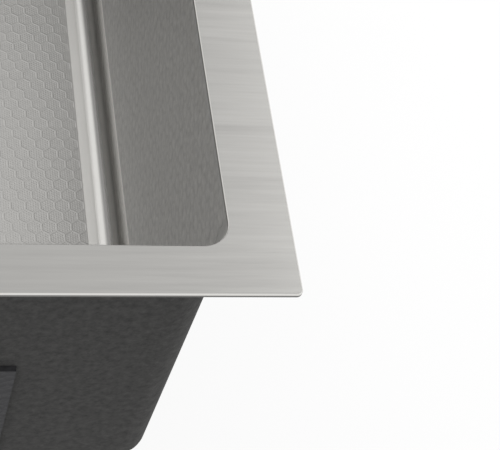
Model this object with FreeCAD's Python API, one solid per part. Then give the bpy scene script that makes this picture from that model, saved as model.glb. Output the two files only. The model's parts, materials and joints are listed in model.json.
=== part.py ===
import FreeCAD
import Part
import math
import os

# Drop-in kitchen sink: a flat rim panel, a bent sheet bowl under it, the clips that hold it to a worktop
# and the basket strainer in its drain. Millimetres, Z up, X to the right, Y to the back.
# The origin is the middle of the rim on the surface of the worktop, which is the underside of the seal.

# Rim panel
RIM_LENGTH = 600.0
RIM_WIDTH = 450.0
RIM_THICKNESS = 2.0
RIM_SIDE = 24.0
RIM_FRONT = 28.0
DECK_DEPTH = 74.0
RIM_CORNER_RADIUS = 3.0
RIM_EDGE_BEVEL = 0.7
LIP_BEVEL = 0.4
TAP_HOLE_DIAMETER = 35.0

# Seal tape under the rim
SEAL_THICKNESS = 1.0
SEAL_WIDTH = 8.0
SEAL_INSET = 3.0

# Bowl
BOWL_DEPTH = 207.0
BEND_RADIUS = 10.0
CORNER_EASE = 2.5
WALL_DRAFT = 2.2
SHEET = 1.0
FLANGE_WIDTH = 6.0
FLOOR_LAND = 1.0
FLOOR_FALL = 3.0

# Drain in the floor
DRAIN_HOLE_DIAMETER = 90.0
RECESS_DIAMETER = 117.0
RECESS_DEPTH = 3.0
RECESS_FLARE = 2.5
DRAIN_FLAT_MARGIN = 5.0

# Sound damping on the outside of the bowl
COAT_THICKNESS = 1.0
COAT_DROP = 28.0
COAT_DRAIN_CLEARANCE = 7.0
PAD_THICKNESS = 3.0
PAD_HEIGHT = 85.0
PAD_LONG = 240.0
PAD_SHORT = 190.0
PAD_DROP = 100.0
FLOOR_PAD_LENGTH = 110.0
FLOOR_PAD_WIDTH = 150.0

# Rails under the deck
RAIL_LENGTH = 150.0
RAIL_OFFSET = 150.0
RAIL_INSET = 27.0
RAIL_FOOT = 14.0
RAIL_SHEET = 1.5
RAIL_MARGIN = 1.0

# Clips
CLIP_SPREAD_FRONT = 120.0
EAR_DROP = 4.0
EAR_HEIGHT = 20.0
EAR_WIDTH = 26.0
EAR_SHELF = 10.0
EAR_SHEET = 1.5
ARM_SHEET = 2.0
ARM_WIDTH = 14.0
ARM_HEAD_WIDTH = 22.0
ARM_HEAD_HEIGHT = 5.0
ARM_OFFSET = 5.5
ARM_REACH = 22.0
ARM_BEND_RADIUS = 2.0
ARM_DROP = 27.5
ARM_CLEARANCE = 0.2
CLIP_NUT_ACROSS = 10.0
CLIP_NUT_HEIGHT = 3.5
SCREW_DIAMETER = 6.0
SCREW_OFFSET = 16.5
SCREW_CLEARANCE = 0.05
FORK_CLEARANCE = 0.4
SCREW_LENGTH = 30.0
SCREW_HEAD_ACROSS = 10.0
SCREW_HEAD_HEIGHT = 4.0
SCREW_SLOT_WIDTH = 1.4
SCREW_SLOT_DEPTH = 1.8
FOOT_ACROSS = 10.0
FOOT_HEIGHT = 3.5
WORKTOP_THICKNESS = 30.0
WORKTOP_GAP = 1.0

# Basket strainer
GASKET_THICKNESS = 1.0
GASKET_WIDTH = 9.0
STRAINER_FLANGE_DIAMETER = 114.0
STRAINER_FLANGE_THICKNESS = 1.6
STRAINER_FLANGE_BEVEL = 3.0
STRAINER_SHEET = 1.2
CUP_DIAMETER = 84.0
LEDGE_WIDTH = 3.0
LEDGE_DROP = 5.0
CUP_DEPTH = 52.0
CUP_BOTTOM_CHAMFER = 6.0
OUTLET_BORE = 41.0
OUTLET_THREAD_DIAMETER = 47.8
OUTLET_LENGTH = 26.0
TAIL_FLANGE_DIAMETER = 60.0
TAIL_FLANGE_THICKNESS = 2.5
WASHER_THICKNESS = 3.0
WASHER_WIDTH = 13.0
FRICTION_THICKNESS = 1.0
NUT_HEIGHT = 11.0
NUT_WALL = 8.0
NUT_CLEARANCE = 0.1
NUT_LUGS = 8
NUT_LUG_WIDTH = 7.0
NUT_LUG_LENGTH = 5.0

# Basket and its plug
BASKET_SHEET = 0.8
BASKET_DEPTH = 30.0
BASKET_TAPER = 5.0
BASKET_CORNER = 4.0
BASKET_RIM_HEIGHT = 1.6
BASKET_CLEARANCE = 0.5
BASKET_SLOTS = 14
SLOT_WIDTH = 2.6
SLOT_LENGTH = 16.0
FLOOR_SLOTS = 8
FLOOR_SLOT_START = 14.0
FLOOR_SLOT_LENGTH = 12.0
POST_DIAMETER = 8.0
POST_CLEARANCE = 0.05
BUSH_DIAMETER = 13.0
BUSH_FLANGE_DIAMETER = 20.0
BUSH_FLANGE_HEIGHT = 2.0
BUSH_LENGTH = 5.0
BUSH_CLEARANCE = 0.05
KNOB_DIAMETER = 19.0
KNOB_WAIST_DIAMETER = 12.0
KNOB_HEIGHT = 14.0
KNOB_DROP = 4.0
KNOB_SOCKET_DEPTH = 9.0
PLUG_DIAMETER = 54.0
PLUG_THICKNESS = 5.0
PLUG_WASHER_DIAMETER = 34.0
PLUG_WASHER_THICKNESS = 1.5
PLUG_NUT_ACROSS = 13.0
PLUG_NUT_HEIGHT = 5.0

# Heights
rim_bottom = SEAL_THICKNESS
rim_top = rim_bottom + RIM_THICKNESS
floor_edge = rim_top - BOWL_DEPTH
floor_low = floor_edge - FLOOR_FALL
recess_floor = floor_low - RECESS_DEPTH
recess_under = recess_floor - SHEET

# Plan of the rim and of the inside of the bowl
rim_right = RIM_LENGTH / 2
rim_back = RIM_WIDTH / 2
bowl_right = rim_right - RIM_SIDE
bowl_front = -rim_back + RIM_FRONT
bowl_back = rim_back - DECK_DEPTH
corner_radius = BEND_RADIUS + CORNER_EASE
drain_y = (bowl_front + bowl_back) / 2
recess_radius = RECESS_DIAMETER / 2
drain_flat = recess_radius + RECESS_FLARE + DRAIN_FLAT_MARGIN
fall_edge = WALL_DRAFT + BEND_RADIUS + FLOOR_LAND
floor_pad_x = (drain_flat + bowl_right - fall_edge) / 2

# Heights in a clip, under a worktop of the usual thickness
ear_bottom = rim_bottom - SHEET - EAR_DROP - EAR_HEIGHT
shelf_top = ear_bottom + EAR_SHEET
foot_top = -WORKTOP_THICKNESS - WORKTOP_GAP
screw_top = foot_top - FOOT_HEIGHT
screw_bottom = screw_top - SCREW_LENGTH
arm_top = shelf_top - ARM_DROP
arm_under = arm_top - ARM_SHEET

# Heights and radii in the strainer
flange_under = recess_floor + GASKET_THICKNESS
flange_top = flange_under + STRAINER_FLANGE_THICKNESS
ledge = flange_under - LEDGE_DROP
cup_bottom = flange_under - CUP_DEPTH
tail_top = cup_bottom - STRAINER_SHEET
outlet_end = tail_top - TAIL_FLANGE_THICKNESS - OUTLET_LENGTH
cup_radius = CUP_DIAMETER / 2
inner_radius = cup_radius - LEDGE_WIDTH
body_radius = cup_radius + STRAINER_SHEET
outlet_radius = OUTLET_BORE / 2
thread_radius = OUTLET_THREAD_DIAMETER / 2
washer_under = recess_under - WASHER_THICKNESS
friction_under = washer_under - FRICTION_THICKNESS
nut_under = friction_under - NUT_HEIGHT
basket_bottom = ledge - BASKET_DEPTH
basket_floor = basket_bottom + BASKET_SHEET
plug_top = cup_bottom + PLUG_THICKNESS
knob_top = flange_top - KNOB_DROP
post_top = knob_top - KNOB_HEIGHT + KNOB_SOCKET_DEPTH
post_radius = POST_DIAMETER / 2


def vec(x, y, z):
    return FreeCAD.Vector(x, y, z)


def block(x0, x1, y0, y1, z0, z1):
    return Part.makeBox(x1 - x0, y1 - y0, z1 - z0, vec(x0, y0, z0))


def round_block(x0, x1, y0, y1, z0, z1, radius):
    """A block whose upright edges are rounded."""
    plain = block(x0, x1, y0, y1, z0, z1)
    upright = [e for e in plain.Edges if e.BoundBox.ZLength > (z1 - z0) / 2]
    return plain.makeFillet(radius, upright)


def drain_rod(radius, z0, z1):
    """An upright cylinder on the axis of the drain."""
    return Part.makeCylinder(radius, z1 - z0, vec(0, drain_y, z0))


def drain_ring(outer, inner, z0, z1):
    return drain_rod(outer, z0, z1).cut(drain_rod(inner, z0, z1))


def turned(outline):
    """Turn an outline of (radius, height) points about the axis of the drain."""
    points = [vec(r, drain_y, z) for r, z in outline]
    face = Part.Face(Part.makePolygon(points + points[:1]))
    return face.revolve(vec(0, drain_y, 0), vec(0, 0, 1), 360)


def round_drain(shape, count):
    """Copies of a shape, drawn along X, set evenly round the axis of the drain."""
    copies = []
    for i in range(count):
        copy = shape.copy()
        copy.rotate(vec(0, 0, 0), vec(0, 0, 1), 360 * i / count)
        copy.translate(vec(0, drain_y, 0))
        copies.append(copy)
    return copies


def hexagon(across, z0, z1, x, y):
    corner = across / math.sqrt(3)
    angles = [math.radians(60 * i) for i in range(6)]
    points = [vec(x + corner * math.cos(a), y + corner * math.sin(a), z0) for a in angles]
    return Part.Face(Part.makePolygon(points + points[:1])).extrude(vec(0, 0, z1 - z0))


def hopper(wide, narrow):
    """A solid with flat sides between two level rectangles, the wide one above."""
    sides = [[wide[i - 1], wide[i], narrow[i], narrow[i - 1]] for i in range(4)]
    faces = [Part.Face(Part.makePolygon(f + f[:1])) for f in [wide, narrow[::-1]] + sides]
    lump = Part.makeSolid(Part.makeShell(faces))
    lump.fix(1e-5, 1e-5, 1e-5)
    return lump


def bowl_rectangle(inset, z):
    """A rectangle that stands off the edge of the bowl's opening by an inset."""
    x, y0, y1 = bowl_right - inset, bowl_front + inset, bowl_back - inset
    return [vec(-x, y0, z), vec(x, y0, z), vec(x, y1, z), vec(-x, y1, z)]


def tray(grow, top):
    """The bowl's inside as a lump, with leaning walls and all its bends, grown by a thickness all round."""
    def section(z):
        return bowl_rectangle(WALL_DRAFT * (rim_bottom - z) / (rim_bottom - floor_edge) - grow, z)
    plain = hopper(section(top), section(floor_edge - grow))
    corners = [e for e in plain.Edges if e.BoundBox.ZLength > BEND_RADIUS]
    plain = plain.makeFillet(corner_radius + grow, corners)
    bends = [e for e in plain.Edges if e.BoundBox.ZMax < floor_edge]
    return plain.makeFillet(BEND_RADIUS + grow, bends)


def fall(lower):
    """Four flat facets that lead the water from the bends to the drain, creased in an X."""
    wide = bowl_rectangle(fall_edge, floor_edge - lower)
    x, y0, y1, z = drain_flat, drain_y - drain_flat, drain_y + drain_flat, floor_low - lower
    return hopper(wide, [vec(-x, y0, z), vec(x, y0, z), vec(x, y1, z), vec(-x, y1, z)])


def recess(grow):
    """The pressed seat of the strainer."""
    return Part.makeCone(recess_radius + grow, recess_radius + RECESS_FLARE + grow, RECESS_DEPTH,
                         vec(0, drain_y, recess_floor - grow))


def bowl_form(grow, top):
    """The bowl as one solid lump, with the fall of its floor and the drain recess."""
    return tray(grow, top).fuse([fall(grow), recess(grow)]).removeSplitter()


def make_rim_deck():
    plate = round_block(-rim_right, rim_right, -rim_back, rim_back, rim_bottom, rim_top, RIM_CORNER_RADIUS)
    plate = plate.makeChamfer(RIM_EDGE_BEVEL, [e for e in plate.Edges if e.BoundBox.ZMin > rim_top - 1e-3])
    opening = round_block(-bowl_right, bowl_right, bowl_front, bowl_back, rim_bottom, rim_top, corner_radius)
    plate = plate.cut(opening)
    lip = [e for e in plate.Edges if e.BoundBox.ZMin > rim_top - 1e-3
           and abs(e.CenterOfMass.x) < bowl_right + 1e-3
           and bowl_front - 1e-3 < e.CenterOfMass.y < bowl_back + 1e-3]
    plate = plate.makeChamfer(LIP_BEVEL, lip)
    tap_y = rim_back - DECK_DEPTH / 2
    return plate.cut(Part.makeCylinder(TAP_HOLE_DIAMETER / 2, RIM_THICKNESS, vec(0, tap_y, rim_bottom)))


def make_rim_seal():
    def tape_edge(inset):
        radius = RIM_CORNER_RADIUS if inset == SEAL_INSET else corner_radius
        return round_block(-rim_right + inset, rim_right - inset, -rim_back + inset, rim_back - inset,
                           0, SEAL_THICKNESS, radius)
    return tape_edge(SEAL_INSET).cut(tape_edge(SEAL_INSET + SEAL_WIDTH))


def make_bowl():
    flange = SHEET + FLANGE_WIDTH
    collar = round_block(-bowl_right - flange, bowl_right + flange, bowl_front - flange, bowl_back + flange,
                         rim_bottom - SHEET, rim_bottom, corner_radius + flange)
    shell = bowl_form(SHEET, rim_bottom).fuse(collar).removeSplitter()
    shell = shell.cut(bowl_form(0, rim_bottom))
    return shell.cut(drain_rod(DRAIN_HOLE_DIAMETER / 2, recess_under, recess_floor))


def make_sound_coat():
    top = rim_bottom - COAT_DROP
    clear = recess_radius + RECESS_FLARE + SHEET + COAT_DRAIN_CLEARANCE
    lump = tray(SHEET + COAT_THICKNESS, top).fuse(fall(SHEET + COAT_THICKNESS))
    lump = lump.cut(bowl_form(SHEET, rim_bottom))
    return lump.cut(drain_rod(clear, floor_low - 2 * SHEET - COAT_THICKNESS, floor_edge))


def make_pads():
    """Glued pads: one on the coat of each wall, and two that follow the fall of the floor from below."""
    skin = SHEET + COAT_THICKNESS
    coat_top = rim_bottom - COAT_DROP
    inner = tray(skin, coat_top).fuse(fall(skin))
    outer = tray(skin + PAD_THICKNESS, coat_top).fuse(fall(skin + PAD_THICKNESS))
    reach = skin + 2 * PAD_THICKNESS
    high = rim_bottom - PAD_DROP
    low = high - PAD_HEIGHT
    short, long, across = PAD_SHORT / 2, PAD_LONG / 2, FLOOR_PAD_WIDTH / 2
    side_x, floor_x = FLOOR_PAD_LENGTH / 2, floor_pad_x
    under = floor_low - reach
    places = {
        "sound_pad_right": (floor_x, bowl_right + reach, drain_y - short, drain_y + short, low, high),
        "sound_pad_left": (-bowl_right - reach, -floor_x, drain_y - short, drain_y + short, low, high),
        "sound_pad_back": (-long, long, drain_y, bowl_back + reach, low, high),
        "sound_pad_front": (-long, long, bowl_front - reach, drain_y, low, high),
        "sound_pad_floor_left": (-floor_x - side_x, -floor_x + side_x, drain_y - across, drain_y + across,
                                 under, floor_edge),
        "sound_pad_floor_right": (floor_x - side_x, floor_x + side_x, drain_y - across, drain_y + across,
                                  under, floor_edge),
    }
    return {name: block(*limits).common(outer).cut(inner) for name, limits in places.items()}


def make_deck_rails():
    face = rim_back - RAIL_INSET
    bottom = ear_bottom - RAIL_MARGIN
    rails = []
    for x in (-RAIL_OFFSET, RAIL_OFFSET):
        web = block(x - RAIL_LENGTH / 2, x + RAIL_LENGTH / 2, face - RAIL_SHEET, face, bottom, rim_bottom)
        foot = block(x - RAIL_LENGTH / 2, x + RAIL_LENGTH / 2, face - RAIL_FOOT, face,
                     rim_bottom - RAIL_SHEET, rim_bottom)
        rails.append(web.fuse(foot).removeSplitter())
    return Part.makeCompound(rails)


# Each clip is drawn with X pointing away from the wall that it hangs on, then turned to its place.
wall_x = bowl_right + SHEET
CLIP_SITES = {
    "front_left": (-CLIP_SPREAD_FRONT, bowl_front - SHEET, -90),
    "front_right": (CLIP_SPREAD_FRONT, bowl_front - SHEET, -90),
    "right": (wall_x, drain_y, 0),
    "back_right": (RAIL_OFFSET, rim_back - RAIL_INSET, 90),
    "back_left": (-RAIL_OFFSET, rim_back - RAIL_INSET, 90),
    "left": (-wall_x, drain_y, 180),
}


def at_site(shape, site):
    x, y, heading = CLIP_SITES[site]
    placed = shape.copy()
    placed.rotate(vec(0, 0, 0), vec(0, 0, 1), heading)
    placed.translate(vec(x, y, 0))
    return placed


def make_ear(site):
    """A hooked bracket, seated on the leaning wall of the bowl or on a rail."""
    half = EAR_WIDTH / 2
    on_rail = site.startswith("back")
    leg = block(0 if on_rail else -WALL_DRAFT, EAR_SHEET, -half, half, ear_bottom, ear_bottom + EAR_HEIGHT)
    shelf = block(0, EAR_SHELF, -half, half, ear_bottom, shelf_top)
    slot = block(ARM_OFFSET - ARM_CLEARANCE, ARM_OFFSET + ARM_SHEET + ARM_CLEARANCE,
                 -ARM_WIDTH / 2 - ARM_CLEARANCE, ARM_WIDTH / 2 + ARM_CLEARANCE, ear_bottom, shelf_top)
    ear = at_site(leg.fuse(shelf).removeSplitter().cut(slot), site)
    return ear if on_rail else ear.cut(tray(SHEET, rim_bottom))


def make_arm():
    """A strap with a hook head above the shelf, bent outwards under the worktop to a fork for the screw."""
    inside = ARM_OFFSET
    outside = ARM_OFFSET + ARM_SHEET
    small = ARM_BEND_RADIUS
    large = ARM_BEND_RADIUS + ARM_SHEET
    centre_x = outside + small
    centre_z = arm_top + small
    diagonal = math.sqrt(0.5)

    def at(x, z):
        return vec(x, -ARM_WIDTH / 2, z)

    def around(radius):
        return at(centre_x - radius * diagonal, centre_z - radius * diagonal)

    edges = [
        Part.LineSegment(at(inside, shelf_top), at(outside, shelf_top)),
        Part.LineSegment(at(outside, shelf_top), at(outside, centre_z)),
        Part.Arc(at(outside, centre_z), around(small), at(centre_x, arm_top)),
        Part.LineSegment(at(centre_x, arm_top), at(ARM_REACH, arm_top)),
        Part.LineSegment(at(ARM_REACH, arm_top), at(ARM_REACH, arm_under)),
        Part.LineSegment(at(ARM_REACH, arm_under), at(centre_x, arm_under)),
        Part.Arc(at(centre_x, arm_under), around(large), at(inside, centre_z)),
        Part.LineSegment(at(inside, centre_z), at(inside, shelf_top)),
    ]
    strap = Part.Face(Part.Wire([e.toShape() for e in edges])).extrude(vec(0, ARM_WIDTH, 0))
    head = block(inside, outside, -ARM_HEAD_WIDTH / 2, ARM_HEAD_WIDTH / 2,
                 shelf_top, shelf_top + ARM_HEAD_HEIGHT)
    half = SCREW_DIAMETER / 2 + FORK_CLEARANCE
    fork = block(SCREW_OFFSET - half, ARM_REACH, -half, half, arm_under, arm_top)
    return strap.fuse(head).removeSplitter().cut(fork)


def make_clip_nut():
    """The nut welded under the fork of the arm."""
    low = arm_under - CLIP_NUT_HEIGHT
    bore = Part.makeCylinder(SCREW_DIAMETER / 2 + SCREW_CLEARANCE, CLIP_NUT_HEIGHT, vec(SCREW_OFFSET, 0, low))
    return hexagon(CLIP_NUT_ACROSS, low, arm_under, SCREW_OFFSET, 0).cut(bore)


def make_screw():
    shank = Part.makeCylinder(SCREW_DIAMETER / 2, SCREW_LENGTH, vec(SCREW_OFFSET, 0, screw_bottom))
    head = hexagon(SCREW_HEAD_ACROSS, screw_bottom - SCREW_HEAD_HEIGHT, screw_bottom, SCREW_OFFSET, 0)
    slot = block(SCREW_OFFSET - SCREW_HEAD_ACROSS, SCREW_OFFSET + SCREW_HEAD_ACROSS,
                 -SCREW_SLOT_WIDTH / 2, SCREW_SLOT_WIDTH / 2,
                 screw_bottom - SCREW_HEAD_HEIGHT, screw_bottom - SCREW_HEAD_HEIGHT + SCREW_SLOT_DEPTH)
    return shank.fuse(head).removeSplitter().cut(slot)


def make_foot():
    """The cap that presses on the worktop."""
    return hexagon(FOOT_ACROSS, screw_top, foot_top, SCREW_OFFSET, 0)


def make_strainer_body():
    flange_radius = STRAINER_FLANGE_DIAMETER / 2
    return turned([
        (flange_radius, flange_under),
        (flange_radius, flange_under + STRAINER_FLANGE_THICKNESS / 2),
        (flange_radius - STRAINER_FLANGE_BEVEL, flange_top),
        (body_radius + STRAINER_FLANGE_BEVEL, flange_top),
        (cup_radius, flange_under),
        (cup_radius, ledge),
        (inner_radius, ledge),
        (inner_radius, cup_bottom + CUP_BOTTOM_CHAMFER),
        (inner_radius - CUP_BOTTOM_CHAMFER, cup_bottom),
        (outlet_radius, cup_bottom),
        (outlet_radius, tail_top),
        (inner_radius + STRAINER_SHEET - CUP_BOTTOM_CHAMFER, tail_top),
        (inner_radius + STRAINER_SHEET, cup_bottom + CUP_BOTTOM_CHAMFER - STRAINER_SHEET),
        (inner_radius + STRAINER_SHEET, nut_under),
        (body_radius, nut_under),
        (body_radius, flange_under),
    ])


def make_outlet_tail():
    """The threaded tail under the cup, which takes the trap."""
    return turned([
        (outlet_radius, tail_top),
        (TAIL_FLANGE_DIAMETER / 2, tail_top),
        (TAIL_FLANGE_DIAMETER / 2, tail_top - TAIL_FLANGE_THICKNESS),
        (thread_radius, tail_top - TAIL_FLANGE_THICKNESS),
        (thread_radius, outlet_end),
        (outlet_radius, outlet_end),
    ])


def make_locknut():
    bore = body_radius + NUT_CLEARANCE
    outer = bore + NUT_WALL
    lug = block(outer - NUT_WALL / 2, outer + NUT_LUG_LENGTH, -NUT_LUG_WIDTH / 2, NUT_LUG_WIDTH / 2,
                nut_under, friction_under)
    ring = drain_rod(outer, nut_under, friction_under).fuse(round_drain(lug, NUT_LUGS)).removeSplitter()
    return ring.cut(drain_rod(bore, nut_under, friction_under))


def make_basket_cup():
    """A tapered cup that hangs by its rim on the ledge, with slots round its wall and in its floor."""
    rim_radius = cup_radius - BASKET_CLEARANCE
    mouth = inner_radius - BASKET_CLEARANCE
    foot = mouth - BASKET_TAPER
    shell = turned([
        (rim_radius, ledge),
        (rim_radius, ledge + BASKET_RIM_HEIGHT),
        (mouth - BASKET_SHEET, ledge + BASKET_RIM_HEIGHT),
        (foot - BASKET_SHEET, basket_bottom + BASKET_CORNER),
        (foot - BASKET_CORNER, basket_floor),
        (BUSH_DIAMETER / 2 + BUSH_CLEARANCE, basket_floor),
        (BUSH_DIAMETER / 2 + BUSH_CLEARANCE, basket_bottom),
        (foot - BASKET_CORNER, basket_bottom),
        (foot, basket_bottom + BASKET_CORNER),
        (mouth, ledge),
    ])
    middle = (ledge + basket_bottom + BASKET_CORNER) / 2
    half = SLOT_WIDTH / 2
    wall_slot = block(foot - BASKET_CORNER, rim_radius, -half, half,
                      middle - SLOT_LENGTH / 2, middle + SLOT_LENGTH / 2)
    floor_slot = block(FLOOR_SLOT_START, FLOOR_SLOT_START + FLOOR_SLOT_LENGTH, -half, half,
                       basket_bottom, basket_floor)
    cuts = round_drain(wall_slot, BASKET_SLOTS) + round_drain(floor_slot, FLOOR_SLOTS)
    return shell.cut(cuts)


def make_post_bush():
    """The guide of the post, dropped into the basket's floor from above."""
    bore = post_radius + POST_CLEARANCE
    body = drain_rod(BUSH_DIAMETER / 2, basket_floor + BUSH_FLANGE_HEIGHT - BUSH_LENGTH, basket_floor)
    flange = drain_rod(BUSH_FLANGE_DIAMETER / 2, basket_floor, basket_floor + BUSH_FLANGE_HEIGHT)
    return body.fuse(flange).removeSplitter().cut(
        drain_rod(bore, basket_floor - BUSH_LENGTH, basket_floor + BUSH_FLANGE_HEIGHT))


def make_knob():
    grip = KNOB_DIAMETER / 2
    waist = KNOB_WAIST_DIAMETER / 2
    low = knob_top - KNOB_HEIGHT
    bore = post_radius + POST_CLEARANCE
    return turned([
        (bore, low),
        (waist, low),
        (waist, low + KNOB_HEIGHT / 2),
        (grip, low + KNOB_HEIGHT * 3 / 4),
        (grip, knob_top),
        (0, knob_top),
        (0, post_top),
        (bore, post_top),
    ])


def make_plug():
    """The post and the pieces clamped on it."""
    bore = post_radius + POST_CLEARANCE
    nut_low = cup_bottom - PLUG_NUT_HEIGHT
    return {
        "stopper_post": drain_rod(post_radius, nut_low, post_top),
        "stopper_knob": make_knob(),
        "stopper_washer": drain_ring(PLUG_WASHER_DIAMETER / 2, bore,
                                     plug_top, plug_top + PLUG_WASHER_THICKNESS),
        "stopper_seal": drain_ring(PLUG_DIAMETER / 2, bore, cup_bottom, plug_top),
        "stopper_nut": hexagon(PLUG_NUT_ACROSS, nut_low, cup_bottom, 0, drain_y).cut(
            drain_rod(bore, nut_low, cup_bottom)),
    }


nodes = {
    "rim_deck": make_rim_deck(),
    "rim_seal": make_rim_seal(),
    "bowl": make_bowl(),
    "sound_coat": make_sound_coat(),
    "deck_rails": make_deck_rails(),
    "clip_ears": Part.makeCompound([make_ear(site) for site in CLIP_SITES]),
    "clip_arms": Part.makeCompound([at_site(make_arm(), site) for site in CLIP_SITES]),
    "clip_nuts": Part.makeCompound([at_site(make_clip_nut(), site) for site in CLIP_SITES]),
    "flange_gasket": drain_ring(DRAIN_HOLE_DIAMETER / 2 + GASKET_WIDTH, DRAIN_HOLE_DIAMETER / 2,
                                recess_floor, flange_under),
    "strainer_body": make_strainer_body(),
    "outlet_tail": make_outlet_tail(),
    "rubber_washer": drain_ring(DRAIN_HOLE_DIAMETER / 2 + WASHER_WIDTH, DRAIN_HOLE_DIAMETER / 2,
                                washer_under, recess_under),
    "friction_ring": drain_ring(DRAIN_HOLE_DIAMETER / 2 + WASHER_WIDTH, DRAIN_HOLE_DIAMETER / 2,
                                friction_under, washer_under),
    "locknut": make_locknut(),
    "basket_cup": make_basket_cup(),
    "post_bush": make_post_bush(),
}
nodes.update(make_pads())
nodes.update(make_plug())
for site in CLIP_SITES:
    nodes["clip_screw_" + site] = at_site(make_screw(), site)
    nodes["clip_foot_" + site] = at_site(make_foot(), site)

os.makedirs("parts", exist_ok=True)
for name, shape in nodes.items():
    shape.exportStep("parts/" + name + ".step")
    box = shape.BoundBox
    print(name, len(shape.Solids), "solids", shape.isValid(), "volume", round(shape.Volume / 1000, 2), "cm3",
          [round(v, 1) for v in (box.XMin, box.XMax, box.YMin, box.YMax, box.ZMin, box.ZMax)])
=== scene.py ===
# %% [markdown]
# # A drop-in steel sink
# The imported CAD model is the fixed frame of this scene. It already has every piece in its place, so the work
# here is what CAD leaves open: the raised honeycomb on the sheet, the threads, the finishes, the light and
# the camera. Everything is in metres, with X to the right, Y to the back and Z up.

# %% Load the frame
import json
import math

import bmesh
import bpy
import numpy as np
from mathutils import Matrix, Vector


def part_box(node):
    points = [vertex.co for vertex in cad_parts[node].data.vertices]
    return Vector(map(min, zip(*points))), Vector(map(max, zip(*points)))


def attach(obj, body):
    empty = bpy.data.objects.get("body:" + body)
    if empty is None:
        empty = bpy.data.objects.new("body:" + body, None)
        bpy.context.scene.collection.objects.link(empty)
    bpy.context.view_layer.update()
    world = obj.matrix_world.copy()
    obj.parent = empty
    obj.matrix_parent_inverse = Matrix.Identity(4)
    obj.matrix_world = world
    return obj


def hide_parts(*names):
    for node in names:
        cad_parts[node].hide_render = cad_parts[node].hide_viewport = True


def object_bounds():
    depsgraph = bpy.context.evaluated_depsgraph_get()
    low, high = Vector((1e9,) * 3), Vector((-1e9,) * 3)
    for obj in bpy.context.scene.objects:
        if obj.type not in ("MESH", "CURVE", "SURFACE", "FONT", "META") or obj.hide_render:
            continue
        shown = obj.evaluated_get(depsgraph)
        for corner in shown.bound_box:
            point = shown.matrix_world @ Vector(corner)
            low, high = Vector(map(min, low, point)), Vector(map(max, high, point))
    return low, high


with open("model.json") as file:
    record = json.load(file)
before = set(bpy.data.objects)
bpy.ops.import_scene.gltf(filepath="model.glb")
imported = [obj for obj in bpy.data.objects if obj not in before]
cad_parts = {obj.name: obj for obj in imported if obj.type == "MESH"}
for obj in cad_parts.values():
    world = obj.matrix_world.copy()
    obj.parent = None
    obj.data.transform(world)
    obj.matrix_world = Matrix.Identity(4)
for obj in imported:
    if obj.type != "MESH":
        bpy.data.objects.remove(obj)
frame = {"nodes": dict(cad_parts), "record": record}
nodes = frame["nodes"]
cad_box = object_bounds()
print("nodes", len(nodes), "box", [tuple(round(c, 4) for c in corner) for corner in cad_box])

# %% [markdown]
# ## Sizes that the pieces share
# The honeycomb is rolled into the flat sheet before it is bent, so its fields end short of every bend. The
# places of the walls and of the bends are the CAD's own.

# %% Walls, floor and drain of the bowl
MM = 0.001
WALL_RIGHT = 276 * MM
WALL_FRONT = -197 * MM
WALL_BACK = 151 * MM
RIM_UNDERSIDE = 1 * MM
RIM_TOP = 3 * MM
FLOOR_EDGE = -204 * MM
BEND = 10 * MM
CORNER = 12.5 * MM
LEAN = 2.2 * MM
DRAIN = Vector((0, -23 * MM, 0))
RECESS_EDGE = 61 * MM
PLAIN_FLOOR_MARGIN = 6 * MM
PLAIN_WALL_FOOT = 20 * MM
PLAIN_WALL_HEAD = 1 * MM
PLAIN_CORNER = 2 * MM

plain_edge = LEAN + BEND + PLAIN_FLOOR_MARGIN
field_right = WALL_RIGHT - plain_edge
field_front = WALL_FRONT + plain_edge
field_back = WALL_BACK - plain_edge
wall_foot = FLOOR_EDGE + BEND + PLAIN_WALL_FOOT
wall_head = RIM_UNDERSIDE - PLAIN_WALL_HEAD
wall_end = LEAN + CORNER + PLAIN_CORNER
print("floor field", round(2 * field_right, 4), "by", round(field_back - field_front, 4))

# %% [markdown]
# ## Small helpers for shader nodes
# A finish is a tree of nodes. It could be wired by hand in the shader editor, but a few short functions make
# it readable as text. Two of them do the work: one adds a node and fills or links its sockets, the other does
# arithmetic on sockets. The rest are made from these two.

# %% Nodes and arithmetic
def put(tree, kind, sockets=None, **settings):
    """Add a node, set its properties, then fill each named socket or link it to another socket."""
    node = tree.nodes.new("ShaderNode" + kind)
    for key, value in settings.items():
        setattr(node, key, value)
    for key, value in (sockets or {}).items():
        if isinstance(value, bpy.types.NodeSocket):
            tree.links.new(value, node.inputs[key])
        else:
            node.inputs[key].default_value = value
    return node


def calc(tree, operation, *values):
    """One Math node on numbers or sockets; gives the result's socket."""
    return put(tree, "Math", dict(enumerate(values)), operation=operation).outputs[0]


def weigh(tree, first, share, second):
    """A share of the first value and the rest of the second."""
    return calc(tree, "ADD", calc(tree, "MULTIPLY", first, share), calc(tree, "MULTIPLY", second, 1 - share))


# %% Ranges and steps
def spread(tree, value, low, high, course="LINEAR"):
    """0 where the value is low and 1 where it is high, by a straight or a smooth course."""
    return put(tree, "MapRange", {"Value": value, "From Min": low, "From Max": high},
               interpolation_type=course).outputs[0]


def between(tree, factor, low, high):
    """A number that runs from low to high as the factor goes from 0 to 1."""
    return put(tree, "MapRange", {"Value": factor, "To Min": low, "To Max": high}).outputs[0]


def step_over(tree, value, edge, soft=0.6 * MM):
    """0 below the edge, 1 above it, with a narrow soft step."""
    return spread(tree, value, edge - soft, edge + soft, "SMOOTHSTEP")


# %% Colours
def grey(value, warmth=1.0):
    """A grey with the faint warmth of stainless steel, or with a share of it."""
    return (value * (1 + 0.015 * warmth), value, value * (1 - 0.035 * warmth))


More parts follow.
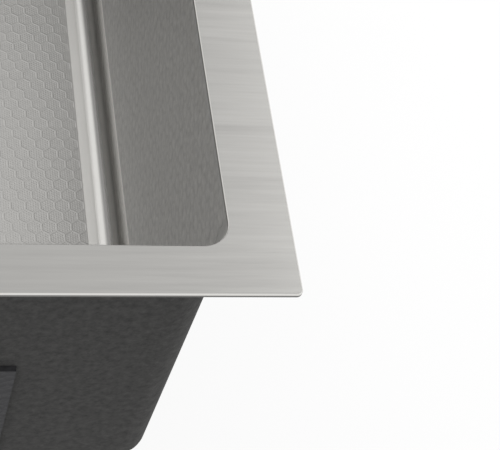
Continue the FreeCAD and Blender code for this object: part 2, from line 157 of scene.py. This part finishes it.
def tint(tree, factor, dark, light):
    """A colour between two colours, each a triple or a socket."""
    mix = put(tree, "Mix", {0: factor}, data_type="RGBA")
    for index, colour in ((6, dark), (7, light)):
        if isinstance(colour, bpy.types.NodeSocket):
            tree.links.new(colour, mix.inputs[index])
        else:
            mix.inputs[index].default_value = (*colour, 1)
    return mix.outputs[2]


def grey_ramp(tree, factor, stops):
    """A grey that follows a factor through stops of (place, value)."""
    node = put(tree, "ValToRGB", {0: factor})
    elements = node.color_ramp.elements
    while len(elements) < len(stops):
        elements.new(1.0)
    for element, (place, value) in zip(elements, stops):
        element.position = place
        element.color = (*grey(value), 1)
    return node.outputs[0]


print("middle grey of the steel", [round(c, 3) for c in grey(0.5)])

# %% A new finish, its noise and its bump
def new_finish(name, metallic=0.0, roughness=0.5):
    """A material, its tree, its shader and the socket of the place on the object."""
    material = bpy.data.materials.new(name)
    material.use_nodes = True
    tree = material.node_tree
    shader = tree.nodes["Principled BSDF"]
    shader.inputs["Metallic"].default_value = metallic
    shader.inputs["Roughness"].default_value = roughness
    place = put(tree, "TexCoord").outputs["Object"]
    return material, tree, shader, place


def stretched_noise(tree, place, scale, detail=3.0, roughness=0.55):
    """Noise whose grain is set for each axis, in features per metre."""
    scaled = put(tree, "VectorMath", {0: place, 1: scale}, operation="MULTIPLY").outputs[0]
    return put(tree, "TexNoise", {"Vector": scaled, "Scale": 1.0, "Detail": detail,
                                  "Roughness": roughness}).outputs["Fac"]


def bump(tree, height, distance):
    return put(tree, "Bump", {"Height": height, "Distance": distance, "Strength": 1.0}).outputs["Normal"]


# %% [markdown]
# ## Brushed rim
# The rim is cut from thick sheet and brushed across, from front to back, with an abrasive belt. The belt
# leaves fine scratches some centimetres long and well under a millimetre wide. As grooves in the mesh they
# would need millions of faces, so noise that is stretched along Y gives them; one coarse and one fine layer
# look less regular than one alone. The arris has a much lighter tone, a painted highlight. The cut edge of the
# plate below it is rougher, and its dark tone is painted shade.

# %% Rim finish
RIM_TONES = grey(0.27), grey(0.375)
# The arris tone is a painted highlight; the cut tone is painted shade on the rougher cut edge.
ARRIS_HIGHLIGHT_TONE = grey(0.70)
CUT_EDGE_SHADE_TONE = grey(0.22)
ARRIS_DEPTH = 0.06 * MM
CUT_DEPTH = 0.75 * MM
EDGE_SOFT = 0.04 * MM
SCRATCH_DEPTH = 0.05 * MM


def brushed_rim():
    material, tree, shader, place = new_finish("brushed_rim", 1.0)
    fine = stretched_noise(tree, place, (1500, 45, 1500), 2.0)
    broad = spread(tree, stretched_noise(tree, place, (360, 12, 360), 3.0), 0.25, 0.75)
    cloud = stretched_noise(tree, place, (14, 9, 14), 2.0)
    grain = weigh(tree, fine, 0.45, broad)
    tone = weigh(tree, grain, 0.75, cloud)
    height = put(tree, "SeparateXYZ", {0: place}).outputs[2]
    on_top = step_over(tree, height, RIM_TOP - ARRIS_DEPTH, EDGE_SOFT)
    above_cut = step_over(tree, height, RIM_TOP - CUT_DEPTH, EDGE_SOFT)
    # Painted highlight on the arris, and painted shade on the cut edge below it.
    top = tint(tree, on_top, ARRIS_HIGHLIGHT_TONE, tint(tree, tone, *RIM_TONES))
    tree.links.new(tint(tree, above_cut, CUT_EDGE_SHADE_TONE, top), shader.inputs["Base Color"])
    rough = calc(tree, "ADD", between(tree, grain, 0.28, 0.46), between(tree, above_cut, 0.15, 0.0))
    tree.links.new(rough, shader.inputs["Roughness"])
    tree.links.new(bump(tree, grain, SCRATCH_DEPTH), shader.inputs["Normal"])
    return material


rim_finish = brushed_rim()
print("made", rim_finish.name)

# %% [markdown]
# ## Bowl sheet
# The bowl is bent from one sheet. Inside the honeycomb fields the roll leaves the steel dull, and the plain
# margins stay bright. Each bend's tone carries painted reflections as it climbs from the floor to the wall:
# a painted highlight at first, then a darker and a paler painted band, and a dark painted line near the wall.
# Masks from the place on the bowl tell these apart, so a single finish covers the whole node.

# %% Bowl finish
FLOOR_TONES = grey(0.335), grey(0.364)
WALL_TONES = grey(0.30, 0.4), grey(0.37, 0.4)
MARGIN_TONE = grey(0.62)
# Tones up each bend, from floor to wall: a painted highlight, darker and paler painted reflection bands, a
# dark painted line.
BEND_REFLECTION_TONES = ((0, 0.46), (0.07, 0.46), (0.13, 0.27), (0.22, 0.34),
              (0.36, 0.50), (0.48, 0.48), (0.72, 0.29), (1, 0.31))
BEND_START = FLOOR_EDGE + 0.012 * MM
BEND_END = FLOOR_EDGE + BEND - 0.5 * MM
ROLLED_ROUGH = 0.30
MARGIN_SMOOTHER = 0.06
BEND_ROUGHER = -0.02, 0.14


def bowl_sheet():
    material, tree, shader, place = new_finish("bowl_sheet", 1.0)
    x, y, z = put(tree, "SeparateXYZ", {0: place}).outputs
    aside = calc(tree, "ABSOLUTE", x)
    off_floor = calc(tree, "MAXIMUM", step_over(tree, aside, field_right),
                     calc(tree, "MAXIMUM", step_over(tree, y, field_back),
                          calc(tree, "SUBTRACT", 1.0, step_over(tree, y, field_front))))
    upright = step_over(tree, z, wall_foot)
    plain = calc(tree, "MULTIPLY", calc(tree, "SUBTRACT", 1.0, upright), off_floor)
    cloud = stretched_noise(tree, place, (160, 160, 160), 4.0)
    dull = tint(tree, upright, tint(tree, cloud, *FLOOR_TONES), tint(tree, cloud, *WALL_TONES))
    bent = calc(tree, "SUBTRACT", step_over(tree, z, BEND_START, 0.01 * MM),
                step_over(tree, z, BEND_END, 0.4 * MM))
    # The ramp paints the bend's highlight and its reflected bands into the colour.
    climb = spread(tree, z, FLOOR_EDGE, FLOOR_EDGE + BEND)
    bright = tint(tree, bent, MARGIN_TONE, grey_ramp(tree, climb, BEND_REFLECTION_TONES))
    tree.links.new(tint(tree, plain, dull, bright), shader.inputs["Base Color"])
    upper = step_over(tree, z, FLOOR_EDGE + 0.28 * BEND, 0.15 * BEND)
    in_bend = calc(tree, "MULTIPLY", bent, between(tree, upper, *BEND_ROUGHER))
    smooth = calc(tree, "MULTIPLY", plain, calc(tree, "SUBTRACT", in_bend, MARGIN_SMOOTHER))
    rough = calc(tree, "ADD", calc(tree, "ADD", smooth, ROLLED_ROUGH), between(tree, cloud, -0.03, 0.03))
    tree.links.new(rough, shader.inputs["Roughness"])
    return material


bowl_finish = bowl_sheet()
print("made", bowl_finish.name)

# %% [markdown]
# ## Honeycomb cells
# A patterned roll presses the flat sheet, so ribs in a honeycomb stand up from it, with nineteen dots in each
# cell between them. The flanks of the ribs catch the light, so they are real geometry: each cell has half of
# the rib's flat top round it, a flank and a floor, and neighbours are welded along the middle of the rib.
# Cells that meet the end of a field are cut along it, as the roll's pattern is. The dots are a few hundredths
# of a millimetre high, so they are left to bump.

# %% Rolled steel, plain and dotted
CELL = 8.4 * MM
DOT_STEP = CELL / (3 * math.sqrt(3))
DOT_RADIUS = 0.33 * DOT_STEP
DOT_TOP = 0.35 * DOT_RADIUS
DOT_HEIGHT = 0.036 * MM


def rolled_steel(name, tones, gloss, edge_tone):
    """Dull steel as the roll leaves it; the edge tone is what it keeps of its gloss at a flat angle."""
    material, tree, shader, place = new_finish(name, 1.0)
    shader.inputs["Specular Tint"].default_value = (edge_tone, edge_tone, edge_tone, 1)
    cloud = spread(tree, stretched_noise(tree, place, (260, 260, 260), 4.0), 0.3, 0.7)
    tree.links.new(tint(tree, cloud, *tones), shader.inputs["Base Color"])
    tree.links.new(between(tree, cloud, *gloss), shader.inputs["Roughness"])
    return material, tree, shader, place


def dotted_steel(name, look, along, across, centre):
    """The same steel with a triangular grid of dots, in two axes of a field and set on a cell's centre."""
    material, tree, shader, place = rolled_steel(name, *look)
    moved = put(tree, "VectorMath", {0: place, 1: centre}, operation="SUBTRACT").outputs[0]
    split = put(tree, "SeparateXYZ", {0: moved})
    flat = put(tree, "CombineXYZ", {"X": split.outputs[along], "Y": split.outputs[across]}).outputs[0]
    half = Vector((DOT_STEP * math.sqrt(3) / 2, DOT_STEP / 2, 1))
    reach = []
    for shift in ((0, 0, 0), (half.x, half.y, 0)):
        shifted = put(tree, "VectorMath", {0: flat, 1: shift}, operation="ADD").outputs[0]
        folded = put(tree, "VectorMath", {0: shifted, 1: half, 2: -half}, operation="WRAP").outputs[0]
        reach.append(put(tree, "VectorMath", {0: folded}, operation="LENGTH").outputs["Value"])
    dot = spread(tree, calc(tree, "MINIMUM", *reach), DOT_RADIUS, DOT_TOP, "SMOOTHSTEP")
    tree.links.new(bump(tree, dot, DOT_HEIGHT), shader.inputs["Normal"])
    return material


print("dots stand", round(DOT_STEP / MM, 2), "mm apart")

# %% Cutting a cell along the end of its field
def keep_inside(outline, point, inward):
    """The part of a convex outline on the inner side of a straight line."""
    kept = []
    depth = [(p - point) @ inward for p in outline]
    for i, (p, d) in enumerate(zip(outline, depth)):
        q, e = outline[i - 1], depth[i - 1]
        if (d >= 0) != (e >= 0):
            kept.append(q + (p - q) * e / (e - d))
        if d >= 0:
            kept.append(p)
    return kept


def hexagon(centre, apothem):
    turns = np.radians(60 * np.arange(6) + 30)
    return [centre + apothem / math.cos(math.pi / 6) * np.array((math.cos(t), math.sin(t))) for t in turns]


print("corner of a cell", np.round(hexagon(np.zeros(2), CELL / 2)[0] / MM, 2), "mm")

# %% Form of a cell
RIB_SHARE = 0.925
FLOOR_SHARE = 0.82
RIB_HEIGHT = 0.062 * MM
FLOOR_HEIGHT = 0.010 * MM


def cell_centres(low, high):
    """Centres of the cells over a rectangle, with neighbours along its first direction."""
    middle = (low + high) / 2
    rise = CELL * math.sqrt(3) / 2
    columns, rows = ((high - low) / 2 / (CELL, rise)).astype(int) + 1
    for row in range(-rows, rows + 1):
        for column in range(-columns, columns + 1):
            yield middle + np.array(((column + 0.5 * (row % 2)) * CELL, row * rise))


def cell_faces(centre):
    """The floor of a cell, then the six parts of its flank and of its half of the rib's top."""
    rib, shoulder, floor = (hexagon(centre, share * CELL / 2) for share in (1.0, RIB_SHARE, FLOOR_SHARE))
    faces = [floor]
    for outer, inner in ((shoulder, floor), (rib, shoulder)):
        faces += [[outer[i - 1], outer[i], inner[i], inner[i - 1]] for i in range(6)]
    return faces


def relief(offset):
    """Height of the pressed sheet at an offset from the centre of a cell."""
    across = max(abs(offset[0] * math.cos(t) + offset[1] * math.sin(t)) for t in np.radians((0, 60, 120)))
    return np.interp(2 * across / CELL, (FLOOR_SHARE, RIB_SHARE), (FLOOR_HEIGHT, RIB_HEIGHT))


print("a whole cell has", len(cell_faces(np.zeros(2))), "faces")

# %% [markdown]
# A field is drawn flat, in its own two directions, and then each point is set on the sheet by a ray cast from
# the middle of the bowl. So the cells follow the four facets that fall towards the drain and the lean of the
# walls. The border of a field is drawn down into the sheet, so that no gap shows under it.

# %% Field of cells
SINK = 0.015 * MM
WELD = 0.001 * MM


def pressed_field(low, high, on_sheet, outward, bare):
    """Points and faces of the cells over a rectangle, with a 1 for each face that is the floor of a cell."""
    ends = [(low, np.array((1, 0))), (low, np.array((0, 1)))]
    ends += [(high, np.array((-1, 0))), (high, np.array((0, -1)))]
    numbers, points, faces, kinds = {}, [], [], []
    for centre in cell_centres(low, high):
        if bare is not None and bare(centre):
            continue
        reach = min((centre - point) @ inward for point, inward in ends)
        for place, outline in enumerate(cell_faces(centre)):
            for point, inward in ends if reach < CELL else ():
                outline = keep_inside(outline, point, inward)
            corners = []
            for p in outline:
                key = round(p[0] / WELD), round(p[1] / WELD)
                if key not in numbers:
                    numbers[key] = len(points)
                    points.append(on_sheet(p) + outward * relief(p - centre))
                if numbers[key] not in corners:
                    corners.append(numbers[key])
            if len(corners) > 2:
                faces.append(corners)
                kinds.append(1 if place == 0 else 0)
    return points, faces, kinds


def sink_border(mesh, outward):
    """Draw the border of a field down into the sheet."""
    form = bmesh.new()
    form.from_mesh(mesh)
    border = [edge for edge in form.edges if edge.is_boundary]
    drawn = bmesh.ops.extrude_edge_only(form, edges=border)["geom"]
    foot = [item for item in drawn if isinstance(item, bmesh.types.BMVert)]
    bmesh.ops.translate(form, verts=foot, vec=-outward * (RIB_HEIGHT + SINK))
    form.to_mesh(mesh)
    form.free()


def honeycomb(name, low, high, on_sheet, outward, steel, bare=None):
    """Cells over the rectangle from low to high: ribs in the first steel, floors of cells in the second."""
    points, faces, kinds = pressed_field(np.array(low), np.array(high), on_sheet, outward, bare)
    mesh = bpy.data.meshes.new(name)
    mesh.from_pydata(points, [], faces)
    for finish in steel:
        mesh.materials.append(finish)
    mesh.polygons.foreach_set("material_index", kinds)
    mesh.update()
    if mesh.polygons[0].normal.dot(outward) < 0:
        mesh.flip_normals()
    sink_border(mesh, outward)
    piece = bpy.data.objects.new(name, mesh)
    bpy.context.scene.collection.objects.link(piece)
    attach(piece, "sink")
    print(name, sum(kinds), "cells", len(mesh.polygons), "faces")


# %% Floor field
BARE_RING = 0.62 * CELL
UP = Vector((0, 0, 1))


def on_bowl(start, direction):
    """The point of the bowl's inside that a ray meets."""
    hit, where, normal, face = nodes["bowl"].ray_cast(start, direction)
    return where


def at_drain(centre):
    """Whether a cell of the floor, given as (y, x), would reach into the recess of the drain."""
    return math.dist(centre, (DRAIN.y, DRAIN.x)) < RECESS_EDGE + BARE_RING


floor_middle = Vector((0, (field_front + field_back) / 2, 0))
floor_look = FLOOR_TONES, (0.275, 0.305), 1.0
floor_ribs = rolled_steel("rolled_floor", *floor_look)[0]
floor_cells = dotted_steel("dotted_floor", floor_look, 1, 0, floor_middle)
honeycomb("floor_honeycomb", (field_front, -field_right), (field_back, field_right),
          lambda p: on_bowl(Vector((p[1], p[0], 0)), -UP), UP, (floor_ribs, floor_cells), at_drain)

# %% Wall fields
# The walls' rolled steel is the floor's, painted much lighter than it: painted light on the walls.
WALL_CELL_PAINTED_LIGHT_TONES = grey(0.53, 0.4), grey(0.72, 0.4)
WALL_RIB_PAINTED_LIGHT_TONES = grey(0.495, 0.4), grey(0.665, 0.4)
WALL_GLOSS = 0.33, 0.40
WALL_EDGE_TONE = 0.65

wall_span = (WALL_FRONT + wall_end, WALL_BACK - wall_end)
wall_width = WALL_RIGHT - wall_end
wall_middle = (wall_foot + wall_head) / 2
side_centre = Vector((0, sum(wall_span) / 2, wall_middle))
long_centre = Vector((0, 0, wall_middle))
wall_ribs = rolled_steel("rolled_wall", WALL_RIB_PAINTED_LIGHT_TONES, WALL_GLOSS, WALL_EDGE_TONE)[0]
wall_look = WALL_CELL_PAINTED_LIGHT_TONES, WALL_GLOSS, WALL_EDGE_TONE
side_steel = wall_ribs, dotted_steel("dotted_side", wall_look, 1, 2, side_centre)
long_steel = wall_ribs, dotted_steel("dotted_long", wall_look, 2, 0, long_centre)
for name, facing in (("right", Vector((-1, 0, 0))), ("left", Vector((1, 0, 0)))):
    honeycomb("wall_honeycomb_" + name, (wall_span[0], wall_foot), (wall_span[1], wall_head),
              lambda p, facing=facing: on_bowl(Vector((0, p[0], p[1])), -facing), facing, side_steel)
for name, facing in (("front", Vector((0, 1, 0))), ("back", Vector((0, -1, 0)))):
    honeycomb("wall_honeycomb_" + name, (wall_foot, -wall_width), (wall_head, wall_width),
              lambda p, facing=facing: on_bowl(Vector((p[1], DRAIN.y, p[0])), -facing), facing, long_steel)

# %% [markdown]
# ## Sound-damping coat and pads
# The outside of the bowl is sprayed with a thick dark coat that stops the sheet from ringing. It dries matt
# and grainy. Heavy pads are glued over it. Both are dark and rough, with different grain. So even a grain
# needs no displaced mesh: noise gives it as tone and bump.

# %% Coat and pad finishes
COAT_GRAIN = 0.6 * MM
PAD_GRAIN = 0.6 * MM


def sprayed_coat():
    material, tree, shader, place = new_finish("sprayed_coat", 0.0, 0.85)
    grain = stretched_noise(tree, place, (700, 700, 700), 4.0, 0.65)
    blobs = stretched_noise(tree, place, (260, 260, 260), 2.0)
    tone = weigh(tree, grain, 0.35, blobs)
    speckle = spread(tree, tone, 0.28, 0.72)
    tree.links.new(tint(tree, speckle, grey(0.020), grey(0.062)), shader.inputs["Base Color"])
    tree.links.new(bump(tree, tone, COAT_GRAIN), shader.inputs["Normal"])
    return material


def pad_rubber():
    material, tree, shader, place = new_finish("pad_rubber", 0.0, 0.75)
    cells = put(tree, "TexVoronoi", {"Vector": place, "Scale": 260.0}).outputs["Distance"]
    cloud = stretched_noise(tree, place, (40, 40, 40), 4.0)
    tree.links.new(tint(tree, cloud, (0.022, 0.022, 0.024), (0.05, 0.05, 0.054)), shader.inputs["Base Color"])
    tree.links.new(between(tree, cloud, 0.62, 0.85), shader.inputs["Roughness"])
    tree.links.new(bump(tree, cells, PAD_GRAIN), shader.inputs["Normal"])
    return material


coat_finish, pad_finish = sprayed_coat(), pad_rubber()
print("made", coat_finish.name, pad_finish.name)

# %% [markdown]
# ## Finishes of the strainer and of the fittings
# The strainer is turned and polished, so its fine lines run round the drain. A UV map could carry them, but
# the distance from the drain's axis gives them without one. The clips and rails are zinc plated. The rest is
# rubber, foam, pressed fibre and moulded plastic.

# %% Polished and plated steel
TURNED_LINES = 0.03 * MM


def polished_turned():
    material, tree, shader, place = new_finish("polished_turned", 1.0)
    from_axis = put(tree, "VectorMath", {0: place, 1: DRAIN}, operation="SUBTRACT").outputs[0]
    x, y, z = put(tree, "SeparateXYZ", {0: from_axis}).outputs
    radius = calc(tree, "SQRT", calc(tree, "ADD", calc(tree, "POWER", x, 2.0), calc(tree, "POWER", y, 2.0)))
    rings = put(tree, "CombineXYZ", {"X": radius, "Y": z}).outputs[0]
    lines = stretched_noise(tree, rings, (1800, 1800, 0), 2.0)
    cloud = stretched_noise(tree, place, (70, 70, 70), 3.0)
    tree.links.new(tint(tree, lines, grey(0.52), grey(0.64)), shader.inputs["Base Color"])
    tree.links.new(between(tree, cloud, 0.10, 0.24), shader.inputs["Roughness"])
    tree.links.new(bump(tree, lines, TURNED_LINES), shader.inputs["Normal"])
    return material


def zinc_plate():
    material, tree, shader, place = new_finish("zinc_plate", 1.0)
    spangle = put(tree, "TexVoronoi", {"Vector": place, "Scale": 420.0}).outputs["Color"]
    patch = put(tree, "RGBToBW", {0: spangle}).outputs[0]
    cloud = stretched_noise(tree, place, (120, 120, 120), 3.0)
    tree.links.new(tint(tree, patch, (0.44, 0.45, 0.47), (0.56, 0.57, 0.58)), shader.inputs["Base Color"])
    tree.links.new(between(tree, cloud, 0.28, 0.48), shader.inputs["Roughness"])
    return material


turned_finish, zinc_finish = polished_turned(), zinc_plate()
print("made", turned_finish.name, zinc_finish.name)

# %% Rubber, foam, fibre and plastics
def mottled(name, dark, light, rough, grain, height):
    """A dull finish: colour, gloss and bump from one noise of a given grain."""
    material, tree, shader, place = new_finish(name)
    noise = stretched_noise(tree, place, grain, 4.0, 0.6)
    tree.links.new(tint(tree, noise, dark, light), shader.inputs["Base Color"])
    tree.links.new(between(tree, noise, *rough), shader.inputs["Roughness"])
    tree.links.new(bump(tree, noise, height), shader.inputs["Normal"])
    return material


finishes = {
    "rim_steel": rim_finish,
    "bowl_steel": bowl_finish,
    "coat": coat_finish,
    "pad_rubber": pad_finish,
    "polished_steel": turned_finish,
    "zinc_steel": zinc_finish,
    "black_rubber": mottled("black_rubber", grey(0.014), grey(0.032), (0.5, 0.7),
                            (300, 300, 300), 0.08 * MM),
    "foam": mottled("seal_foam", grey(0.02), grey(0.05), (0.8, 0.95),
                    (1400, 1400, 1400), 0.3 * MM),
    "fibre": mottled("pressed_fibre", (0.26, 0.17, 0.10), (0.46, 0.33, 0.21), (0.7, 0.9),
                     (500, 500, 900), 0.1 * MM),
    "white_plastic": mottled("white_plastic", grey(0.66), (0.76, 0.76, 0.74), (0.35, 0.5),
                             (90, 90, 90), 0.04 * MM),
    "black_plastic": mottled("black_plastic", grey(0.018), grey(0.035), (0.38, 0.52),
                             (600, 600, 600), 0.04 * MM),
}
for subpart in frame["record"]["subparts"]:
    nodes[subpart["node"]].material_slots[0].material = finishes[subpart["material_slot"]]

# %% [markdown]
# ## Threads
# CAD keeps the screws and the outlet as plain cylinders. A thread is a groove that climbs as it goes round,
# so a grid of points round an axis, whose radius depends on height and turn together, makes one without any
# modifier. The crests keep the CAD's radius, and the roots lie inside it.

# %% Turned form with a thread
STEPS_PER_TURN = 6


def threaded(axis, profile, thread, around, hollow):
    """Points and faces of a turned profile of (radius, height), grooved where it has the crest's radius."""
    crest, start, end, pitch, depth = thread
    ends = profile[1:] + profile[:1] if hollow else profile[1:]
    rings = []
    for (r0, z0), (r1, z1) in zip(profile, ends):
        grooved = r0 == r1 == crest
        steps = int(abs(z1 - z0) / pitch * STEPS_PER_TURN) if grooved else 1
        rings += [(r0 + (r1 - r0) * k / steps, z0 + (z1 - z0) * k / steps, grooved) for k in range(steps)]
    if not hollow:
        rings.append((*profile[-1], False))
    points = []
    for radius, height, grooved in rings:
        for k in range(around):
            turn = 2 * math.pi * k / around
            phase = (height - start) / pitch - k / around
            groove = abs(2 * (phase - math.floor(phase)) - 1)
            fade = max(0.0, min(1.0, (height - start) / pitch, (end - height) / pitch)) if grooved else 0.0
            r = radius - depth * groove * fade
            points.append((axis[0] + r * math.cos(turn), axis[1] + r * math.sin(turn), height))
    count = len(rings)
    faces = []
    for i in range(count if hollow else count - 1):
        a, b = i * around, (i + 1) % count * around
        faces += [(a + k, b + k, b + (k + 1) % around, a + (k + 1) % around) for k in range(around)]
    if not hollow:
        faces += [tuple(range(around)), tuple(range(count * around - 1, (count - 1) * around - 1, -1))]
    return points, faces


# %% One object from several forms
def assemble(name, forms, body, slot, stands_for):
    """Join forms of (points, faces) into one piece that stands for a CAD node."""
    points, faces = [], []
    for form_points, form_faces in forms:
        faces += [tuple(len(points) + i for i in face) for face in form_faces]
        points += form_points
    mesh = bpy.data.meshes.new(name)
    mesh.from_pydata(points, [], faces)
    mesh.materials.append(finishes[slot])
    mesh.update()
    piece = bpy.data.objects.new(name, mesh)
    bpy.context.scene.collection.objects.link(piece)
    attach(piece, body)
    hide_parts(stands_for)
    print(name, len(faces), "faces")


# %% Outlet tail
TAIL_BORE = 20.5 * MM
TAIL_THREAD = 23.9 * MM
TAIL_FLANGE = 30 * MM
TAIL_FLANGE_HEIGHT = 2.5 * MM
TAIL_PITCH = 2.309 * MM
TAIL_GROOVE = 1.4 * MM
TAIL_SIDES = 72

tail_low, tail_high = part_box("outlet_tail")
tail_neck = tail_high.z - TAIL_FLANGE_HEIGHT
tail_profile = [(TAIL_BORE, tail_high.z), (TAIL_FLANGE, tail_high.z), (TAIL_FLANGE, tail_neck),
                (TAIL_THREAD, tail_neck), (TAIL_THREAD, tail_low.z), (TAIL_BORE, tail_low.z)]
tail_groove = (TAIL_THREAD, tail_low.z, tail_neck, TAIL_PITCH, TAIL_GROOVE)
tail = threaded(DRAIN, tail_profile, tail_groove, TAIL_SIDES, True)
assemble("tail_thread", [tail], "sink", "zinc_steel", "outlet_tail")

# %% [markdown]
# The clip screws have a finer thread and a slotted hexagon head. A head is three upright prisms: two cheeks
# at full height and, between them, the web above the slot. The longer side of a screw's box tells which way
# its head is turned.

# %% Clip screws
SCREW_RADIUS = 3 * MM
SCREW_PITCH = 1 * MM
SCREW_GROOVE = 0.5 * MM
SCREW_TIP = 0.6 * MM
SCREW_SIDES = 24
HEAD_ACROSS = 10 * MM
HEAD_HEIGHT = 4 * MM
SLOT_WIDTH = 1.4 * MM
SLOT_DEPTH = 1.8 * MM


def prism(outline, low, high):
    count = len(outline)
    points = [(*p, z) for z in (low, high) for p in outline]
    faces = [(i, (i + 1) % count, count + (i + 1) % count, count + i) for i in range(count)]
    return points, faces + [tuple(range(count - 1, -1, -1)), tuple(range(count, 2 * count))]


def clip_screw(site):
    low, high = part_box("clip_screw_" + site)
    axis = (low + high) / 2
    neck = low.z + HEAD_HEIGHT
    profile = [(SCREW_RADIUS - SCREW_TIP, high.z), (SCREW_RADIUS, high.z - SCREW_TIP), (SCREW_RADIUS, neck)]
    thread = (SCREW_RADIUS, neck, high.z - SCREW_TIP, SCREW_PITCH, SCREW_GROOVE)
    forms = [threaded(axis, profile, thread, SCREW_SIDES, False)]
    head = hexagon(np.zeros(2), HEAD_ACROSS / 2)
    side = np.array((SLOT_WIDTH / 2, 0))
    east = np.array((1, 0))
    web = keep_inside(keep_inside(head, -side, east), side, -east)
    turned = high.x - low.x > high.y - low.y
    for outline, start in ((keep_inside(head, side, east), low.z),
                           (keep_inside(head, -side, -east), low.z), (web, low.z + SLOT_DEPTH)):
        corners = [np.array((-p[1], p[0])) if turned else p for p in outline]
        forms.append(prism([p + np.array(axis[:2]) for p in corners], start, neck))
    assemble("threaded_screw_" + site, forms, "clip_" + site, "zinc_steel", "clip_screw_" + site)


for site in ("front_left", "front_right", "right", "back_right", "back_left", "left"):
    clip_screw(site)

# %% [markdown]
# ## Light
# A pale room lights the sink evenly from all sides. Two soft boxes high on the right give the rim its sheen
# and the bends a crisp line, and a low panel beside the front rim lightens the brushed steel towards its
# outer edge. Steel shows what is around it, so the room is white to mirror rays as well as to the camera. The
# floor is white too and keeps the soft shadow.

# %% Room
ROOM_STRENGTH = 0.75


def shown_white(tree):
    """1 for rays that show the room, straight or by a mirror or glass, and 0 for the light on the sink."""
    rays = put(tree, "LightPath")
    mirrored = calc(tree, "MAXIMUM", rays.outputs["Is Glossy Ray"], rays.outputs["Is Transmission Ray"])
    return calc(tree, "MAXIMUM", rays.outputs["Is Camera Ray"], mirrored)


def room_light():
    world = bpy.data.worlds.new("pale_room")
    bpy.context.scene.world = world
    world.use_nodes = True
    tree = world.node_tree
    background = tree.nodes["Background"]
    background.inputs["Color"].default_value = (1, 1, 1, 1)
    tree.links.new(between(tree, shown_white(tree), ROOM_STRENGTH, 1.0), background.inputs["Strength"])
    return world


print("lit by", room_light().name)

# %% Soft boxes
def soft_box(name, place, aim, width, depth, power):
    lamp = bpy.data.lights.new(name, "AREA")
    lamp.shape = "RECTANGLE"
    lamp.size, lamp.size_y, lamp.energy = width, depth, power
    box = bpy.data.objects.new(name, lamp)
    box.location = place
    box.rotation_euler = (Vector(aim) - Vector(place)).to_track_quat("-Z", "Y").to_euler()
    box.visible_camera = False
    bpy.context.scene.collection.objects.link(box)


soft_box("overhead", (0.8, -0.5, 1.75), (-0.1, -0.1, -0.1), width=1.0, depth=1.0, power=1.2)
soft_box("back_box", (1.03, 0.26, 1.38), (-0.1, -0.19, -0.2), width=0.8, depth=0.8, power=1.2)
soft_box("side_panel", (0.08, -0.53, 0.30), (0.08, -0.53, 0), width=0.7, depth=0.30, power=1.55)

# %% Floor
FLOOR_REACH = 4.0
FLOOR_GAP = 0.5 * MM
FLOOR_WHITENESS = 0.85


def pale_floor(height):
    mesh = bpy.data.meshes.new("pale_floor")
    corners = [(FLOOR_REACH * x, FLOOR_REACH * y, height) for x, y in ((-1, -1), (1, -1), (1, 1), (-1, 1))]
    mesh.from_pydata(corners, [], [(0, 1, 2, 3)])
    floor = bpy.data.objects.new("pale_floor", mesh)
    bpy.context.scene.collection.objects.link(floor)
    material, tree, shader, place = new_finish("pale_floor", 0.0, 0.9)
    shader.inputs["Base Color"].default_value = (0.95, 0.95, 0.95, 1)
    white = put(tree, "Emission", {"Color": (1, 1, 1, 1), "Strength": 1.0})
    share = calc(tree, "MULTIPLY", shown_white(tree), FLOOR_WHITENESS)
    mix = put(tree, "MixShader", {0: share, 1: shader.outputs[0], 2: white.outputs[0]})
    tree.links.new(mix.outputs[0], tree.nodes["Material Output"].inputs["Surface"])
    mesh.materials.append(material)
    print("floor at", round(height, 4))


pale_floor(cad_box[0].z - FLOOR_GAP)

# %% [markdown]
# ## Camera
# The picture looks along the bowl from its left end, down on its front corner, with the camera rolled so that
# the rim of that end runs level across the image. It could be set by eye, but here the lines of the rim, the
# wall and the floor gave its place, its lens and three directions: the camera's right, down and forward in
# the sink's frame.

# %% Camera of the picture
PICTURE_WIDTH = 500
FOCAL_PIXELS = 1605.14
SENSOR = 36.0
CAMERA_PLACE = Vector((-0.62899, -0.02302, 0.55115))
CAMERA_RIGHT = Vector((-0.13594, -0.96320, 0.23188))
CAMERA_DOWN = Vector((-0.835456, -0.014344, -0.549370))
CAMERA_FORWARD = Vector((0.532478, -0.268409, -0.802760))

lens = bpy.data.cameras.new("picture_camera")
lens.sensor_width = SENSOR
lens.lens = FOCAL_PIXELS * SENSOR / PICTURE_WIDTH
lens.clip_start = 10 * MM
camera = bpy.data.objects.new("picture_camera", lens)
turn = Matrix((CAMERA_RIGHT, -CAMERA_DOWN, -CAMERA_FORWARD)).transposed()
camera.matrix_world = Matrix.Translation(CAMERA_PLACE) @ turn.to_4x4()
bpy.context.scene.collection.objects.link(camera)
bpy.context.scene.camera = camera
bpy.context.scene.view_settings.view_transform = "Standard"
print("lens", round(lens.lens, 2), "mm")
